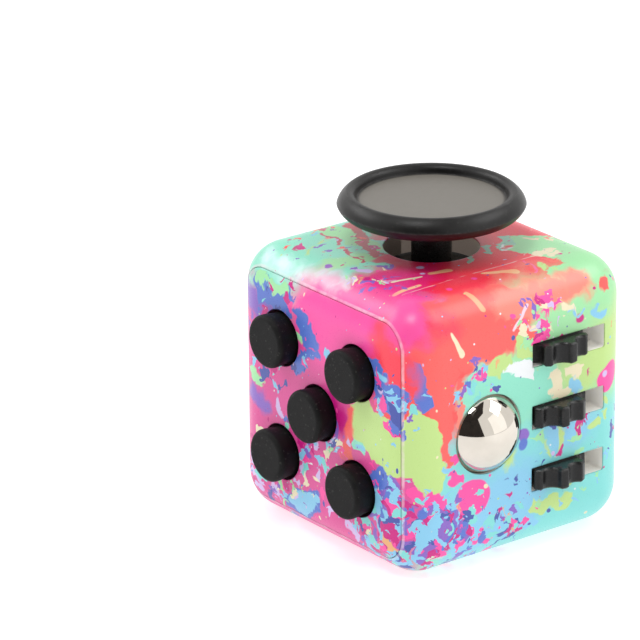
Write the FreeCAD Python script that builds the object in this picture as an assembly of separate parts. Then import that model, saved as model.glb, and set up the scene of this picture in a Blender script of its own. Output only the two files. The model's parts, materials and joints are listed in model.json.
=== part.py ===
import FreeCAD, Part
import math
import os

# Fidget cube, in millimetres. +Z is up and the origin is the middle of the face it rests on.
# -X side: five buttons. -Y side: three gears and a ball. Top: a sliding stick.
# +X side: a rocker switch. +Y side: a spinning dial. Underside: a thumb hollow.

Vector = FreeCAD.Vector
X = Vector(1, 0, 0)
Y = Vector(0, 1, 0)
Z = Vector(0, 0, 1)

# Cube body
SIDE = 33.0
HALF = SIDE / 2
MIDDLE = HALF                      # height of the cube's centre
EDGE_ROUND = 4.9
WALL = 2.6
ROOM = HALF - WALL                 # half the width of the space inside
CEILING = SIDE - WALL
BEYOND = 2 * SIDE                  # reach of a cutting tool that has to pass right through

# Fits
SEAM = 0.06                        # gap round the cover
TIGHT = 0.03                       # radial gap of a peg, screw or pin that stays put
RUNNING = 0.06                     # radial gap of a shaft that turns or slides
REST_GAP = 0.05                    # gap between a moving piece and the stop it rests on

# Cover with the buttons' holes
COVER_HALF = 14.15
COVER_BACK = -14.3                 # x of its inner face
COVER_CORNER = 2.9
PEG_RADIUS = 0.9
PEG_END = -11.7
POST_RADIUS = 1.9
POST_END = -11.5
POST_OFFSET = 12.3                 # posts and pegs from the cube's centre, in y and in z

# Buttons
BUTTON_PITCH = 7.04                # outer buttons from the middle one, in y and in z
BUTTON_TRAVEL = 1.0
BUTTON_HOLE = 3.38
BUTTON_NECK = 2.98
BUTTON_HEAD = 3.14
BUTTON_STANDOUT = 2.4
BUTTON_ROUND = 0.55
BUTTON_TAPER = 0.9                 # length of the full-width part behind the tip
BUTTON_FLANGE = 4.0
BUTTON_FLANGE_THICK = 0.8
PLUNGER_RADIUS = 1.5
PLUNGER_SINK = 1.2                 # how far it reaches past the flange into the cap
PLUNGER_REAR = -12.55
SILENT_COIL = 2.0
SILENT_WIRE = 0.18
SILENT_TURNS = 1.5
SILENT_BUTTONS = ("upper_right", "lower_left")

# Plate behind the buttons
PLATE_FRONT = -11.4
PLATE_THICK = 0.8
PLATE_HALF = 12.3
PLATE_CORNER = 1.5
PLATE_BOSS = 10.9                  # screw bosses from the cube's centre
BOSS_RADIUS = 1.4
DOME_FOOT = 2.4
DOME_HEIGHT = 1.05
DOME_SHEET = 0.12

# Screws
SCREW_SHANK = 0.6
SCREW_HEAD = 1.2
SCREW_HEAD_THICK = 0.5
SCREW_LENGTH = 2.6
SCREW_SLOT = 0.3

# Gears
SLOT_LEFT = 1.4
SLOT_RIGHT = 12.15
SLOT_HEIGHT = 2.9
SLOT_CORNER = 0.3
GEAR_PITCH = 7.6                   # height from one gear to the next
GEAR_RADIUS = 4.7
GEAR_STANDOUT = 2.25
GEAR_X = 5.5
GEAR_Y = -HALF - GEAR_STANDOUT + GEAR_RADIUS
GEAR_LOBES = 9
GEAR_THICK = 2.5
LOBE_SHARE = 0.32                  # part of each pitch taken by the crown of a lobe
LOBE_DEPTH = 0.85
LOBE_SOFTEN = 0.3                  # rounding where a crown meets a hollow
GEAR_EDGE = 0.2
GEAR_CLEARANCE = 0.06              # between the lobes and the wall behind the slots
TOP_GEAR_TURN = 3.0                # degrees
LOWER_GEARS_TURN = -10.0
AXLE_RADIUS = 1.0

# Frame that carries the gears and guides the ball
FRAME_FRONT = -6.6
FRAME_THICK = 1.2
FRAME_LEFT = -9.9
FRAME_RIGHT = 13.4
FRAME_HALF_HEIGHT = 10.4
ARM_LEFT = 3.3
ARM_RIGHT = 7.7
ARM_FRONT = -15.2
ARM_GAP = 0.1                      # round the arms in the wall
ARM_THICK = 0.7
ARM_FROM_GEAR = 0.45
SHELF_THICK = 0.8
BAY_DEPTH = 5.9                    # of the rib beside the gears
LEFT_BOSS_X = -8.4
LEFT_BOSS_RISE = 8.1
RIGHT_BOSS_X = 12.3

# Ball
BALL_RADIUS = 5.0
BALL_X = -4.97
BALL_Z = 16.2
BALL_HOLE = 4.75
BALL_Y = -HALF + 2.28
BALL_TRAVEL = 0.9
BALL_GAP = 0.08
CUP_GAP = 0.05
CUP_THICK = 0.8
CUP_REACH = 48.0                   # degrees from the cup's axis to its rim
CUP_STEM = 1.3
CUP_STEM_END = -4.9
BALL_COIL = 1.85
BALL_WIRE = 0.15
BALL_TURNS = 1.5

# Stick: disc, stem and sliding plates under the ceiling
DISC_RADIUS = 10.87
DISC_TOP = 39.7
DISC_WIDEST = 38.25
DISC_BOTTOM = 37.0
DISC_BOTTOM_EDGE = 8.2             # radius where the underside starts to curve up
DISC_LOW_CURVE = (10.15, 37.28)    # radius and height of a point on the rim's lower curve
DISC_HIGH_CURVE = (10.45, 39.1)    # on its upper curve
DISC_LIP_CURVE = (8.89, 39.48)     # and on the curve down to the floor
DISC_LIP_LOW = 39.0
DISC_FLOOR = 38.75
DISC_FLOOR_EDGE = 8.57
DISC_HOLLOW = 8.67
STEM_RADIUS = 2.35
STEM_SINK = 1.1
GLIDE_HOLE = 5.6
GLIDE_TRAVEL = 2.1
FLANGE_RADIUS = 9.4
FLANGE_TOP = 30.2
FLANGE_THICK = 0.9
KEY_OFFSET = 5.6
KEY_LENGTH = 1.8
KEY_WIDTH = 1.6
KEY_DEPTH = 0.75
KEY_PLAY = 0.06
SLIDE_TOP = 29.2
SLIDE_THICK = 1.0
SLIDE_HALF_X = 9.5
SLIDE_HALF_Y = 8.2
SLIDE_EYE = 4.9
SLIDE_CORNER = 1.5
TRAY_TOP = 28.1
TRAY_THICK = 0.9
TRAY_HALF_Y = 13.5
TRAY_BOSS_X = 8.6
TRAY_BOSS_Y = 12.2
TRAY_CUP_INSIDE = 3.2
TRAY_CUP_OUTSIDE = 3.9
TRAY_CUP_BOTTOM = 24.4
CENTRE_COIL = 2.4
CENTRE_WIRE = 0.22
CENTRE_TURNS = 5

# Rocker switch
ROCKER_PIVOT = 12.9                # x of its pin
ROCKER_HALF_WIDTH = 2.7
ROCKER_REACH = 6.9
ROCKER_FRONT = 3.2                 # from the pin to the fold in its face
ROCKER_BACK = 0.9
ROCKER_TILT = 10.0                 # degrees each way
ROCKER_HUB = 1.9
ROCKER_TAIL = 2.0
ROCKER_TAIL_ROUND = 0.35
ROCKER_TAIL_HALF = 1.2
ROCKER_HOLE_HALF_Y = 3.0
ROCKER_HOLE_HALF_Z = 7.2
PIN_RADIUS = 0.75
BRACKET_BACK = 9.3
BRACKET_FRONT = 10.1
BRACKET_HALF_Y = 4.6
BRACKET_HALF_Z = 10.5
EAR_INSIDE = 3.2
EAR_HALF_Z = 2.0
BRACKET_BOSS = 9.3
LEAF_THICK = 0.15
LEAF_HALF_LENGTH = 4.2
LEAF_CROWN = 10.35
LEAF_BEAD = 0.3                    # radius of the rib that the rocker's tail snaps over
LEAF_BEAD_X = 10.32

# Dial
DIAL_RADIUS = 8.0
DIAL_STANDOUT = 1.4
DIAL_RECESS = 1.2
DIAL_GAP = 0.35
DIAL_SHAFT = 1.6
DIAL_SHAFT_END = 10.9
DIAL_ROUND = 0.6
DIMPLE_OFFSET = 4.3
DIMPLE_SPHERE = 4.4
DIMPLE_DEPTH = 0.9
COLLAR_RADIUS = 3.2
COLLAR_END = 12.4
WASHER_OUTSIDE = 3.0
WASHER_THICK = 0.3
CLIP_OUTSIDE = 2.4
CLIP_THICK = 0.35
CLIP_SEAT = 1.15

# Thumb hollow
HOLLOW_DEPTH = 1.9
HOLLOW_HALF_WIDTH = 5.5
HOLLOW_STRETCH = 3.5               # half the distance between its two round ends
HOLLOW_ROUND = 0.7
PAD_EXTRA = 0.7
PAD_TOP = 4.0


def block(low, high):
    """A box between two opposite corners."""
    return Part.makeBox(high[0] - low[0], high[1] - low[1], high[2] - low[2], Vector(*low))


def rod(radius, start, direction, length):
    """A cylinder from a point along a direction."""
    return Part.makeCylinder(radius, length, Vector(*start), direction)


def straight_edges(solid, direction):
    """The straight edges that run along a direction."""
    found = []
    for edge in solid.Edges:
        if isinstance(edge.Curve, Part.Line) and abs(edge.Curve.Direction.dot(direction)) > 0.999:
            found.append(edge)
    return found


def outline(start, steps):
    """A closed face in the XZ plane: a step is an end point, or a middle and an end point of an arc."""
    edges = []
    here = Vector(start[0], 0, start[1])
    for step in steps:
        places = [Vector(p[0], 0, p[1]) for p in (step if isinstance(step[0], tuple) else [step])]
        if len(places) == 2:
            edges.append(Part.Arc(here, places[0], places[1]).toShape())
        else:
            edges.append(Part.makeLine(here, places[0]))
        here = places[-1]
    edges.append(Part.makeLine(here, Vector(start[0], 0, start[1])))
    return Part.Face(Part.Wire(edges))


def turned(start_point, steps, place, direction):
    """A turned solid: its outline is in (radius, height), its heights run along direction from place."""
    solid = outline(start_point, steps).revolve(Vector(0, 0, 0), Z, 360)
    solid.Placement = FreeCAD.Placement(Vector(*place), FreeCAD.Rotation(Z, direction))
    return solid


def ring(outside, inside, place, direction, thick):
    """A flat ring."""
    return rod(outside, place, direction, thick).cut(rod(inside, place, direction, thick))


def coil(radius, wire, place, direction, length, turns):
    """A coil spring between two planes, its wire kept inside them."""
    rise = length - 2 * wire
    path = Part.Wire(Part.makeHelix(rise / turns, rise, radius).Edges)
    section = Part.Wire(Part.makeCircle(wire, Vector(radius, 0, 0), Y))
    solid = path.makePipeShell([section], True, True)
    solid.Placement = FreeCAD.Placement(
        Vector(*place) + direction * wire, FreeCAD.Rotation(Z, direction)
    )
    return solid


def screw(place, direction):
    """A small slotted screw: place is under its head, direction is the way it is driven."""
    head = rod(SCREW_HEAD, place, direction * -1, SCREW_HEAD_THICK)
    shank = rod(SCREW_SHANK, place, direction, SCREW_LENGTH)
    slot = block(
        (-SCREW_HEAD * 2, -SCREW_SLOT / 2, -SCREW_HEAD_THICK - SCREW_SLOT),
        (SCREW_HEAD * 2, SCREW_SLOT / 2, -SCREW_HEAD_THICK / 2),
    )
    slot.Placement = FreeCAD.Placement(Vector(*place), FreeCAD.Rotation(Z, direction))
    return head.fuse(shank).cut(slot)


def joined(solids):
    """One solid from several that touch or overlap."""
    whole = solids[0].fuse(solids[1:]).removeSplitter()
    return whole.Solids[0] if len(whole.Solids) == 1 else whole


# Places that several pieces share

def button_places():
    """Names and (y, z) centres of the buttons, as seen from outside."""
    return {
        "upper_left": (BUTTON_PITCH, MIDDLE + BUTTON_PITCH),
        "upper_right": (-BUTTON_PITCH, MIDDLE + BUTTON_PITCH),
        "centre": (0, MIDDLE),
        "lower_left": (BUTTON_PITCH, MIDDLE - BUTTON_PITCH),
        "lower_right": (-BUTTON_PITCH, MIDDLE - BUTTON_PITCH),
    }


def gear_heights():
    """Height of each gear's middle."""
    return {
        "top": MIDDLE + GEAR_PITCH,
        "middle": MIDDLE,
        "bottom": MIDDLE - GEAR_PITCH,
    }


def post_places():
    """(y, z) of the four corner posts that hold the cover's pegs."""
    return [(s * POST_OFFSET, MIDDLE + t * POST_OFFSET) for s in (-1, 1) for t in (-1, 1)]


def plate_boss_places():
    """(y, z) of the cover's four screw bosses."""
    offsets = [(PLATE_BOSS, 0), (-PLATE_BOSS, 0), (0, PLATE_BOSS), (0, -PLATE_BOSS)]
    return [(y, MIDDLE + z) for y, z in offsets]


def frame_boss_places():
    """(x, z) of the four bosses that hold the gear frame."""
    left = [(LEFT_BOSS_X, MIDDLE + s * LEFT_BOSS_RISE) for s in (-1, 1)]
    right = [(RIGHT_BOSS_X, MIDDLE + s * GEAR_PITCH / 2) for s in (-1, 1)]
    return left + right


def tray_boss_places():
    """(x, y) of the four bosses that hold the tray."""
    return [(s * TRAY_BOSS_X, t * TRAY_BOSS_Y) for s in (-1, 1) for t in (-1, 1)]


def bracket_boss_heights():
    """Heights of the two bosses that hold the rocker's bracket."""
    return [MIDDLE - BRACKET_BOSS, MIDDLE + BRACKET_BOSS]


# Housing and cover

def cube_body():
    """The whole rounded cube, solid."""
    body = block((-HALF, -HALF, 0), (HALF, HALF, SIDE))
    return body.makeFillet(EDGE_ROUND, body.Edges)


def cover_prism(grow):
    """The square bar with rounded corners that the cover is cut from."""
    half = COVER_HALF + grow
    bar = block((-BEYOND, -half, MIDDLE - half), (COVER_BACK + grow, half, MIDDLE + half))
    return bar.makeFillet(COVER_CORNER + grow, straight_edges(bar, X))


def room():
    """The space inside, running out through the side that the cover closes."""
    space = block((-BEYOND, -ROOM, WALL), (ROOM, ROOM, CEILING))
    return space.makeFillet(EDGE_ROUND - WALL, space.Edges)


def hollow_shape(half_width, reach_up):
    """A long oval prism standing on the floor, for the pad over the thumb hollow."""
    ends = [rod(half_width, (s * HOLLOW_STRETCH, 0, 0), Z, reach_up) for s in (-1, 1)]
    bar = block((-HOLLOW_STRETCH, -half_width, 0), (HOLLOW_STRETCH, half_width, reach_up))
    return joined([bar] + ends)


def thumb_dish():
    """The shallow oval dish pressed into the underside."""
    radius = (HOLLOW_HALF_WIDTH ** 2 + HOLLOW_DEPTH ** 2) / (2 * HOLLOW_DEPTH)
    low = HOLLOW_DEPTH - radius
    ends = [Part.makeSphere(radius, Vector(s * HOLLOW_STRETCH, 0, low)) for s in (-1, 1)]
    bar = rod(radius, (-HOLLOW_STRETCH, 0, low), X, 2 * HOLLOW_STRETCH)
    return joined([bar] + ends)


def floor_edges(solid):
    """The edges of the dish where it meets the underside."""
    found = []
    for edge in solid.Edges:
        box = edge.BoundBox
        inside = max(-box.XMin, box.XMax, -box.YMin, box.YMax) < HALF - EDGE_ROUND
        if abs(box.ZMin) < SEAM and abs(box.ZMax) < SEAM and inside:
            found.append(edge)
    return found


def housing_bosses():
    """Everything that stands up inside the housing: posts, bosses, rib, collar and pad."""
    pieces = []
    for y, z in post_places():
        pieces.append(rod(POST_RADIUS, (COVER_BACK + SEAM, y, z), X, POST_END - COVER_BACK - SEAM))
    for x, z in frame_boss_places():
        pieces.append(rod(BOSS_RADIUS, (x, FRAME_FRONT, z), Y * -1, ROOM + FRAME_FRONT))
    for x, y in tray_boss_places():
        pieces.append(rod(BOSS_RADIUS, (x, y, TRAY_TOP), Z, CEILING - TRAY_TOP))
    for z in bracket_boss_heights():
        pieces.append(rod(BOSS_RADIUS, (BRACKET_FRONT, 0, z), X, ROOM - BRACKET_FRONT))
    rib_half = GEAR_PITCH + SLOT_HEIGHT
    pieces.append(block((SLOT_RIGHT, -ROOM, MIDDLE - rib_half), (ROOM, BAY_DEPTH - ROOM, MIDDLE + rib_half)))
    pieces.append(rod(COLLAR_RADIUS, (0, COLLAR_END, MIDDLE), Y, ROOM - COLLAR_END))
    pieces.append(hollow_shape(HOLLOW_HALF_WIDTH + PAD_EXTRA, PAD_TOP))
    return pieces


def peg_and_screw_holes():
    """Blind holes for the cover's pegs and for the screws."""
    holes = []
    depth = SCREW_LENGTH + TIGHT
    radius = SCREW_SHANK + TIGHT
    for y, z in post_places():
        holes.append(rod(PEG_RADIUS + TIGHT, (COVER_BACK, y, z), X, PEG_END - COVER_BACK + TIGHT))
    for x, z in frame_boss_places():
        holes.append(rod(radius, (x, FRAME_FRONT, z), Y * -1, depth))
    for x, y in tray_boss_places():
        holes.append(rod(radius, (x, y, TRAY_TOP), Z, depth))
    for z in bracket_boss_heights():
        holes.append(rod(radius, (BRACKET_FRONT, 0, z), X, depth))
    return holes


def gear_slots():
    """The three openings that the gears show through, with the wall hollowed out round each gear."""
    slots = []
    for z in gear_heights().values():
        slot = block(
            (SLOT_LEFT, -HALF - WALL, z - SLOT_HEIGHT / 2), (SLOT_RIGHT, -ROOM + WALL, z + SLOT_HEIGHT / 2)
        )
        slots.append(slot.makeFillet(SLOT_CORNER, straight_edges(slot, Y)))
        low = (GEAR_X, GEAR_Y, z - SLOT_HEIGHT / 2)
        slots.append(rod(GEAR_RADIUS + GEAR_CLEARANCE, low, Z, SLOT_HEIGHT))
    return slots


def axle_bay():
    """The hollow in the wall behind the slots that the frame's arms and the axle reach into."""
    reach = GEAR_PITCH + GEAR_THICK / 2 + ARM_FROM_GEAR + ARM_THICK + ARM_GAP
    low = (ARM_LEFT - ARM_GAP, ARM_FRONT - ARM_GAP, MIDDLE - reach)
    return [block(low, (ARM_RIGHT + ARM_GAP, -ROOM + WALL, MIDDLE + reach))]


def ball_seat():
    """The round opening for the ball: it narrows like the ball itself towards the outside."""
    mouth = rod(BALL_HOLE, (BALL_X, -HALF - WALL, BALL_Z), Y, 2 * WALL)
    hollow = Part.makeSphere(BALL_RADIUS + BALL_GAP, Vector(BALL_X, BALL_Y, BALL_Z))
    bore = rod(BALL_RADIUS + BALL_GAP, (BALL_X, BALL_Y, BALL_Z), Y, WALL)
    return [mouth, hollow, bore]


def dial_openings():
    """The round recess for the dial and the bore for its shaft."""
    recess = rod(DIAL_RADIUS + DIAL_GAP, (0, HALF - DIAL_RECESS, MIDDLE), Y, WALL)
    bore = rod(DIAL_SHAFT + RUNNING, (0, COLLAR_END, MIDDLE), Y, WALL * 2)
    return [recess, bore]


def rocker_opening():
    """The upright opening for the rocker."""
    half_y, half_z = ROCKER_HOLE_HALF_Y, ROCKER_HOLE_HALF_Z
    hole = block((ROCKER_PIVOT, -half_y, MIDDLE - half_z), (HALF + WALL, half_y, MIDDLE + half_z))
    return hole.makeFillet(SLOT_CORNER, straight_edges(hole, X))


def housing():
    """The five-sided shell with all its openings."""
    shell = cube_body().cut(room()).cut(cover_prism(SEAM))
    posts = [piece.common(cube_body()) for piece in housing_bosses()]
    shell = joined([shell] + posts)
    glide_hole = rod(GLIDE_HOLE, (0, 0, CEILING), Z, WALL * 2)
    cuts = peg_and_screw_holes() + gear_slots() + axle_bay() + ball_seat() + dial_openings()
    shell = shell.cut(cuts + [rocker_opening(), glide_hole, thumb_dish()])
    return shell.makeFillet(HOLLOW_ROUND, floor_edges(shell))


def click_cover():
    """The cover over the -X side with five round holes, pegs and screw bosses."""
    cover = cube_body().common(cover_prism(0))
    inner = [rod(PEG_RADIUS, (COVER_BACK, y, z), X, PEG_END - COVER_BACK) for y, z in post_places()]
    for y, z in plate_boss_places():
        inner.append(rod(BOSS_RADIUS, (COVER_BACK, y, z), X, PLATE_FRONT - COVER_BACK))
    cover = joined([cover] + inner)
    holes = []
    for y, z in button_places().values():
        holes.append(rod(BUTTON_HOLE, (-HALF - WALL, y, z), X, WALL * 2))
    for y, z in plate_boss_places():
        holes.append(rod(SCREW_SHANK + TIGHT, (PLATE_FRONT, y, z), X * -1, SCREW_LENGTH))
    return cover.cut(holes)


# Buttons

def button_cap(y, z):
    """A rubber cap: round head, slight waist, and a flange that stops it behind the cover."""
    tip = HALF + COVER_BACK + REST_GAP + BUTTON_STANDOUT
    flange = BUTTON_FLANGE_THICK
    steps = [
        (PLUNGER_RADIUS, PLUNGER_SINK),
        (PLUNGER_RADIUS, -flange),
        (BUTTON_FLANGE, -flange),
        (BUTTON_FLANGE, 0),
        (BUTTON_NECK, 0),
        (BUTTON_NECK, tip - BUTTON_STANDOUT),
        (BUTTON_HEAD, tip - BUTTON_TAPER),
        (BUTTON_HEAD, tip - BUTTON_ROUND),
        ((BUTTON_HEAD - BUTTON_ROUND * (1 - math.sqrt(0.5)), tip - BUTTON_ROUND * (1 - math.sqrt(0.5))),
         (BUTTON_HEAD - BUTTON_ROUND, tip)),
        (0, tip),
    ]
    return turned((0, PLUNGER_SINK), steps, (COVER_BACK + REST_GAP, y, z), X * -1)


def button_plunger(y, z):
    """The hard core of a button, pressed into its cap."""
    front = COVER_BACK + REST_GAP - PLUNGER_SINK + TIGHT
    return rod(PLUNGER_RADIUS - TIGHT, (front, y, z), X, PLUNGER_REAR - front)


def snap_dome(y, z):
    """A thin metal dome that clicks when a plunger flattens it."""
    radius = (DOME_FOOT ** 2 + DOME_HEIGHT ** 2) / (2 * DOME_HEIGHT)
    centre = Vector(PLATE_FRONT - DOME_HEIGHT + radius, y, z)
    shell = Part.makeSphere(radius, centre).cut(Part.makeSphere(radius - DOME_SHEET, centre))
    return shell.common(block((-BEYOND, -BEYOND, -BEYOND), (PLATE_FRONT, BEYOND, BEYOND)))


def silent_spring(y, z):
    """A coil spring round a plunger, between the plate and the cap."""
    start = COVER_BACK + REST_GAP + BUTTON_FLANGE_THICK + REST_GAP
    return coil(SILENT_COIL, SILENT_WIRE, (start, y, z), X, PLATE_FRONT - start, SILENT_TURNS)


def click_plate():
    """The flat plate behind the buttons."""
    half = PLATE_HALF
    back = PLATE_FRONT + PLATE_THICK
    plate = block((PLATE_FRONT, -half, MIDDLE - half), (back, half, MIDDLE + half))
    plate = plate.makeFillet(PLATE_CORNER, straight_edges(plate, X))
    holes = [rod(SCREW_SHANK + TIGHT, (PLATE_FRONT, y, z), X, WALL) for y, z in plate_boss_places()]
    return plate.cut(holes)


def click_plate_screws():
    """Four screws through the plate into the cover."""
    back = PLATE_FRONT + PLATE_THICK
    return Part.makeCompound([screw((back, y, z), X * -1) for y, z in plate_boss_places()])


# Gears

def gear(height, turn):
    """A flat wheel with rounded lobes and shallow hollows, bored for the axle."""
    pitch = 2 * math.pi / GEAR_LOBES
    half_crown = pitch * LOBE_SHARE / 2
    edges = []
    for k in range(GEAR_LOBES):
        places = []
        for radius, angle in (
            (GEAR_RADIUS, -half_crown),
            (GEAR_RADIUS, 0),
            (GEAR_RADIUS, half_crown),
            (GEAR_RADIUS - LOBE_DEPTH, pitch / 2),
            (GEAR_RADIUS, pitch - half_crown),
        ):
            along = k * pitch + angle - math.pi / 2
            places.append(Vector(radius * math.cos(along), radius * math.sin(along), 0))
        edges.append(Part.Arc(places[0], places[1], places[2]).toShape())
        edges.append(Part.Arc(places[2], places[3], places[4]).toShape())
    wheel = Part.Face(Part.Wire(edges)).extrude(Z * GEAR_THICK)
    wheel = wheel.makeFillet(LOBE_SOFTEN, straight_edges(wheel, Z))
    rims = [edge for edge in wheel.Edges if edge.BoundBox.ZLength < SEAM]
    wheel = wheel.makeChamfer(GEAR_EDGE, rims)
    wheel = wheel.cut(rod(AXLE_RADIUS + RUNNING, (0, 0, 0), Z, GEAR_THICK))
    wheel.rotate(Vector(0, 0, 0), Z, turn)
    wheel.translate(Vector(GEAR_X, GEAR_Y, height - GEAR_THICK / 2))
    return wheel


def gear_axle():
    """The steel pin that all three gears turn on."""
    reach = GEAR_PITCH + GEAR_THICK / 2 + ARM_FROM_GEAR + ARM_THICK
    return rod(AXLE_RADIUS, (GEAR_X, GEAR_Y, MIDDLE - reach), Z, 2 * reach)


def roll_frame():
    """The frame behind the -Y wall: a back plate, arms for the axle and a guide for the ball's cup."""
    back = FRAME_FRONT + FRAME_THICK
    low, high = MIDDLE - FRAME_HALF_HEIGHT, MIDDLE + FRAME_HALF_HEIGHT
    pieces = [block((FRAME_LEFT, FRAME_FRONT, low), (FRAME_RIGHT, back, high))]
    arm_low = GEAR_PITCH + GEAR_THICK / 2 + ARM_FROM_GEAR
    shelf_low = (GEAR_PITCH - SHELF_THICK) / 2
    for side in (-1, 1):
        for start, thick in ((arm_low, ARM_THICK), (shelf_low, SHELF_THICK)):
            ends = sorted((MIDDLE + side * start, MIDDLE + side * (start + thick)))
            pieces.append(block((ARM_LEFT, ARM_FRONT, ends[0]), (ARM_RIGHT, FRAME_FRONT, ends[1])))
    holes = [rod(AXLE_RADIUS + TIGHT, (GEAR_X, GEAR_Y, 0), Z, SIDE)]
    holes.append(rod(CUP_STEM + RUNNING, (BALL_X, FRAME_FRONT - WALL, BALL_Z), Y, WALL * 2))
    for x, z in frame_boss_places():
        holes.append(rod(SCREW_SHANK + TIGHT, (x, FRAME_FRONT, z), Y, WALL))
    return joined(pieces).cut(holes)


def roll_frame_screws():
    """Four screws through the frame into the housing."""
    back = FRAME_FRONT + FRAME_THICK
    return Part.makeCompound([screw((x, back, z), Y * -1) for x, z in frame_boss_places()])


# Ball

def roller_ball():
    """The ball that rolls in its seat."""
    return Part.makeSphere(BALL_RADIUS, Vector(BALL_X, BALL_Y, BALL_Z))


def cup_point(radius, angle):
    """A point of the cup's outline, at an angle from its axis."""
    return (radius * math.sin(math.radians(angle)), radius * math.cos(math.radians(angle)))


def ball_cup():
    """The cup that carries the ball, with a stem that slides in the frame."""
    inner = BALL_RADIUS + CUP_GAP
    outer = inner + CUP_THICK
    stem_angle = math.degrees(math.asin(CUP_STEM / outer))
    steps = [
        (cup_point(inner, CUP_REACH / 2), cup_point(inner, CUP_REACH)),
        cup_point(outer, CUP_REACH),
        (cup_point(outer, CUP_REACH / 2), cup_point(outer, stem_angle)),
        (CUP_STEM, CUP_STEM_END - BALL_Y),
        (0, CUP_STEM_END - BALL_Y),
    ]
    return turned((0, inner), steps, (BALL_X, BALL_Y, BALL_Z), Y)


def ball_spring():
    """The coil spring between the frame and the cup."""
    start = BALL_Y + BALL_RADIUS + CUP_GAP + CUP_THICK + TIGHT
    return coil(BALL_COIL, BALL_WIRE, (BALL_X, start, BALL_Z), Y, FRAME_FRONT - start, BALL_TURNS)


# Stick

def glide_disc():
    """The round thumb disc with a rolled rim and a shallow hollow on top."""
    crown = (DISC_RADIUS + DISC_HOLLOW) / 2
    steps = [
        (STEM_RADIUS + TIGHT, DISC_BOTTOM + STEM_SINK),
        (STEM_RADIUS + TIGHT, DISC_BOTTOM),
        (DISC_BOTTOM_EDGE, DISC_BOTTOM),
        (DISC_LOW_CURVE, (DISC_RADIUS, DISC_WIDEST)),
        (DISC_HIGH_CURVE, (crown, DISC_TOP)),
        (DISC_LIP_CURVE, (DISC_HOLLOW, DISC_LIP_LOW)),
        (DISC_FLOOR_EDGE, DISC_FLOOR),
        (0, DISC_FLOOR),
    ]
    return turned((0, DISC_BOTTOM + STEM_SINK), steps, (0, 0, 0), Z)


def key(x, y, top):
    """A block under a sliding plate that runs in a slot of the plate below."""
    half = KEY_WIDTH / 2
    return block((x - half, y - half, top - KEY_DEPTH), (x + half, y + half, top))


def key_slot(x, y, top, thick, along_x):
    """The slot that a key runs in, as long as the travel needs."""
    across = KEY_WIDTH / 2 + KEY_PLAY
    reach = KEY_WIDTH / 2 + GLIDE_TRAVEL + KEY_PLAY
    half_x, half_y = (reach, across) if along_x else (across, reach)
    return block((x - half_x, y - half_y, top - thick), (x + half_x, y + half_y, top))


def glide_stem():
    """The stem of the stick with the wide flange that keeps it under the ceiling."""
    bottom = FLANGE_TOP - FLANGE_THICK
    flange = rod(FLANGE_RADIUS, (0, 0, bottom), Z, FLANGE_THICK)
    stem = rod(STEM_RADIUS, (0, 0, bottom), Z, DISC_BOTTOM + STEM_SINK - TIGHT - bottom)
    pin = rod(CENTRE_COIL - CENTRE_WIRE - TIGHT, (0, 0, SLIDE_TOP - KEY_DEPTH), Z, KEY_DEPTH + FLANGE_THICK)
    keys = [key(s * KEY_OFFSET, s * KEY_OFFSET, bottom) for s in (-1, 1)]
    return joined([flange, stem, pin] + keys)


def cross_slide():
    """The plate between the stem and the tray: the stem slides along X in it, it slides along Y."""
    bottom = SLIDE_TOP - SLIDE_THICK
    plate = block((-SLIDE_HALF_X, -SLIDE_HALF_Y, bottom), (SLIDE_HALF_X, SLIDE_HALF_Y, SLIDE_TOP))
    plate = plate.makeFillet(SLIDE_CORNER, straight_edges(plate, Z))
    keys = [key(s * KEY_OFFSET, -s * KEY_OFFSET, bottom) for s in (-1, 1)]
    cuts = [key_slot(s * KEY_OFFSET, s * KEY_OFFSET, SLIDE_TOP, SLIDE_THICK, True) for s in (-1, 1)]
    cuts.append(rod(SLIDE_EYE, (0, 0, bottom), Z, SLIDE_THICK))
    return joined([plate] + keys).cut(cuts)


def slide_tray():
    """The fixed plate under the stick, with a cup in its middle for the centring spring."""
    bottom = TRAY_TOP - TRAY_THICK
    plate = block((-SLIDE_HALF_X, -TRAY_HALF_Y, bottom), (SLIDE_HALF_X, TRAY_HALF_Y, TRAY_TOP))
    plate = plate.makeFillet(SLIDE_CORNER, straight_edges(plate, Z))
    cup = rod(TRAY_CUP_OUTSIDE, (0, 0, TRAY_CUP_BOTTOM), Z, bottom - TRAY_CUP_BOTTOM)
    inside = rod(TRAY_CUP_INSIDE, (0, 0, TRAY_CUP_BOTTOM + ARM_THICK), Z, WALL * 2)
    cuts = [key_slot(s * KEY_OFFSET, -s * KEY_OFFSET, TRAY_TOP, TRAY_THICK, False) for s in (-1, 1)]
    cuts += [rod(SCREW_SHANK + TIGHT, (x, y, bottom), Z, TRAY_THICK) for x, y in tray_boss_places()]
    return joined([plate, cup]).cut(cuts + [inside])


def slide_tray_screws():
    """Four screws through the tray into the ceiling's bosses."""
    bottom = TRAY_TOP - TRAY_THICK
    return Part.makeCompound([screw((x, y, bottom), Z) for x, y in tray_boss_places()])


def centring_spring():
    """The coil spring that brings the stick back to the middle."""
    start = TRAY_CUP_BOTTOM + ARM_THICK + TIGHT
    length = FLANGE_TOP - FLANGE_THICK - TIGHT - start
    return coil(CENTRE_COIL, CENTRE_WIRE, (0, 0, start), Z, length, CENTRE_TURNS)


# Rocker switch

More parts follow.
